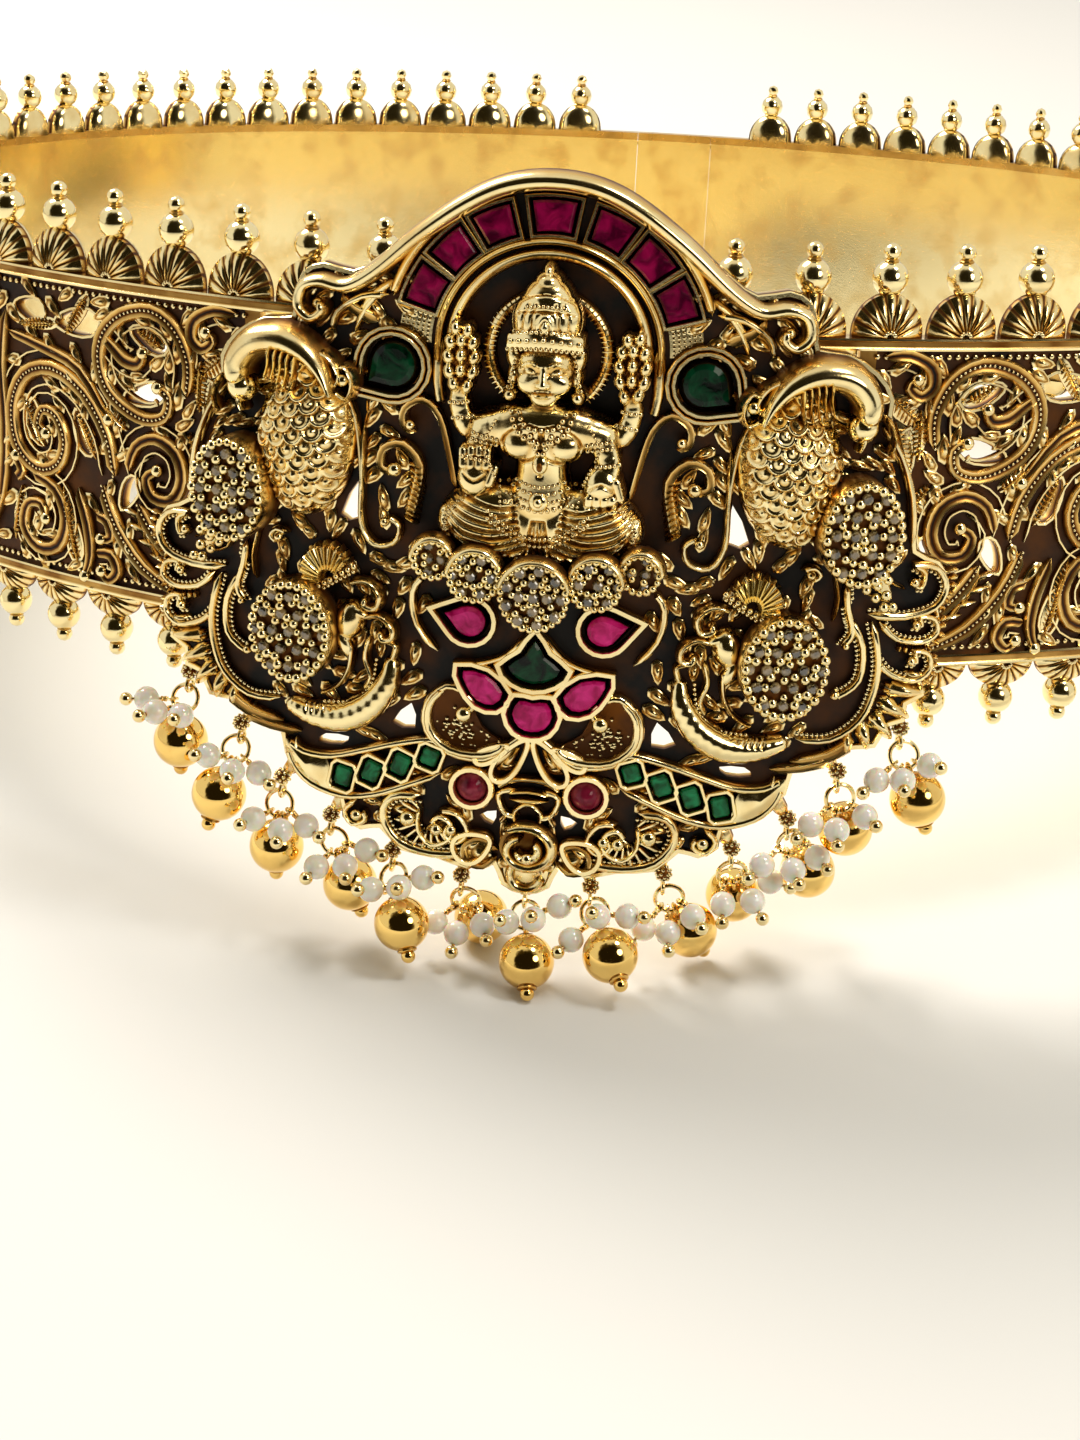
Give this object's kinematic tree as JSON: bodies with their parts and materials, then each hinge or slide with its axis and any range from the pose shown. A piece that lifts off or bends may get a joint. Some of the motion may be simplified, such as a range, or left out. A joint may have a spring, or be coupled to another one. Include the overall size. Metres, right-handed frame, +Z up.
{
  "type": "waist belt",
  "caption": "Gold temple waist belt: pierced band with finials, tall plaque with a seated goddess, peacocks, rubies and emeralds, and ball drops with pearls.",
  "frame": {"origin": "middle of the belt's footprint on the surface it stands on", "axes": "+X to the right of someone facing the plaque, +Y from the plaque to the back of the belt, +Z up"},
  "size_m": [0.2492, 0.2438, 0.0975],
  "materials": {
    "gold": "antique gold plate, polished on the high parts and dark in the recesses",
    "ruby": "polished deep pink red stone",
    "emerald": "polished deep green stone",
    "clear_stone": "small clear cut stone",
    "pearl": "soft pearl lustre"
  },
  "bodies": {
    "root": {"centre_plaque": "gold", "goddess_figure": "gold", "upper_peacock_left": "gold", "upper_peacock_right": "gold", "lower_peacock_left": "gold", "lower_peacock_right": "gold", "band_left": "gold", "band_right": "gold", "back_clasp": "gold", "arch_ruby_1": "ruby", "arch_ruby_2": "ruby", "arch_ruby_3": "ruby", "arch_ruby_4": "ruby", "arch_ruby_5": "ruby", "arch_ruby_6": "ruby", "arch_ruby_7": "ruby", "side_emerald_left": "emerald", "side_emerald_right": "emerald", "petal_ruby_left": "ruby", "petal_ruby_right": "ruby", "centre_emerald": "emerald", "fan_ruby_left": "ruby", "fan_ruby_middle": "ruby", "fan_ruby_right": "ruby", "leaf_emerald_1": "emerald", "leaf_emerald_2": "emerald", "leaf_emerald_3": "emerald", "leaf_emerald_4": "emerald", "leaf_emerald_5": "emerald", "leaf_emerald_6": "emerald", "leaf_emerald_7": "emerald", "leaf_emerald_8": "emerald", "pink_cabochon_left": "ruby", "pink_cabochon_right": "ruby", "upper_wing_stones_left": "clear_stone", "upper_wing_stones_right": "clear_stone", "lower_wing_stones_left": "clear_stone", "lower_wing_stones_right": "clear_stone", "lotus_stones": "clear_stone", "gold_drop_1": "gold", "gold_drop_2": "gold", "gold_drop_3": "gold", "gold_drop_4": "gold", "gold_drop_5": "gold", "gold_drop_6": "gold", "gold_drop_7": "gold", "gold_drop_8": "gold", "gold_drop_9": "gold", "gold_drop_10": "gold", "gold_drop_11": "gold", "gold_drop_12": "gold", "gold_drop_13": "gold", "jump_rings": "gold", "pearls": "pearl", "pearl_pins": "gold"}
  },
  "joints": []
}
